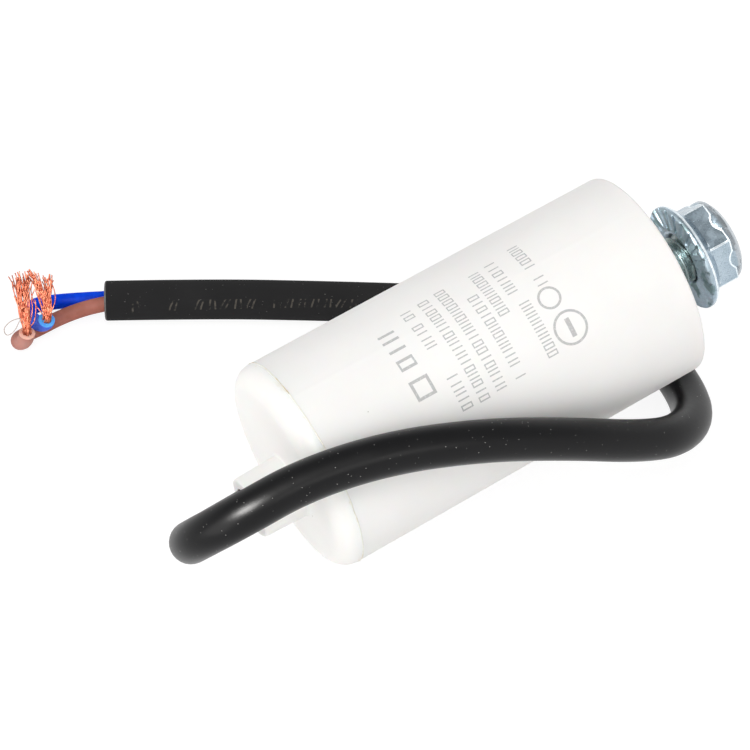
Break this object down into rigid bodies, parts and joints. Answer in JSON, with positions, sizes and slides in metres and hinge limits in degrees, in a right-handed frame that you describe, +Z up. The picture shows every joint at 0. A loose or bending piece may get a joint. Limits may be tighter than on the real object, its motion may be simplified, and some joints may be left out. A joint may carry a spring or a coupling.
{
  "type": "motor run capacitor with mounting stud and cable",
  "caption": "White cylindrical motor capacitor with a glued cap, a threaded mounting stud with a flange nut, and a black cable with stripped core ends.",
  "frame": {"origin": "centre of the resting footprint of the can with its cap boss, stud and nut, on the table", "axes": "+Z up from the table, +X along the can towards the stud, whose axis rises 5.9 degrees from it; the free cable lies towards +Y"},
  "size_m": [0.1057, 0.088, 0.0405],
  "materials": {
    "case_plastic": "satin",
    "cap_plastic": "satin",
    "joint_glue": "gloss",
    "zinc_steel": "satin",
    "winding_film": "satin",
    "tube_plastic": "matte",
    "zinc_spray": "matte",
    "wrap_tape": "gloss",
    "resin": "gloss",
    "black_pvc": "satin",
    "blue_pvc": "satin",
    "brown_pvc": "satin",
    "copper": "satin",
    "solder": "satin"
  },
  "bodies": {
    "root": {"case": "case_plastic", "end_cap": "cap_plastic", "cap_glue": "joint_glue", "mounting_stud": "zinc_steel", "flange_nut": "zinc_steel", "film_winding": "winding_film", "winding_core_tube": "tube_plastic", "end_spray_cap_side": "zinc_spray", "end_spray_stud_side": "zinc_spray", "winding_wrap": "wrap_tape", "potting_resin": "resin", "lead_blue": "blue_pvc", "lead_brown": "brown_pvc", "conductor_blue": "copper", "conductor_brown": "copper", "solder_blue": "solder", "solder_brown": "solder", "cable_jacket": "black_pvc", "core_blue_end": "blue_pvc", "core_brown_end": "brown_pvc", "strands_blue": "copper", "strands_brown": "copper"}
  },
  "joints": []
}
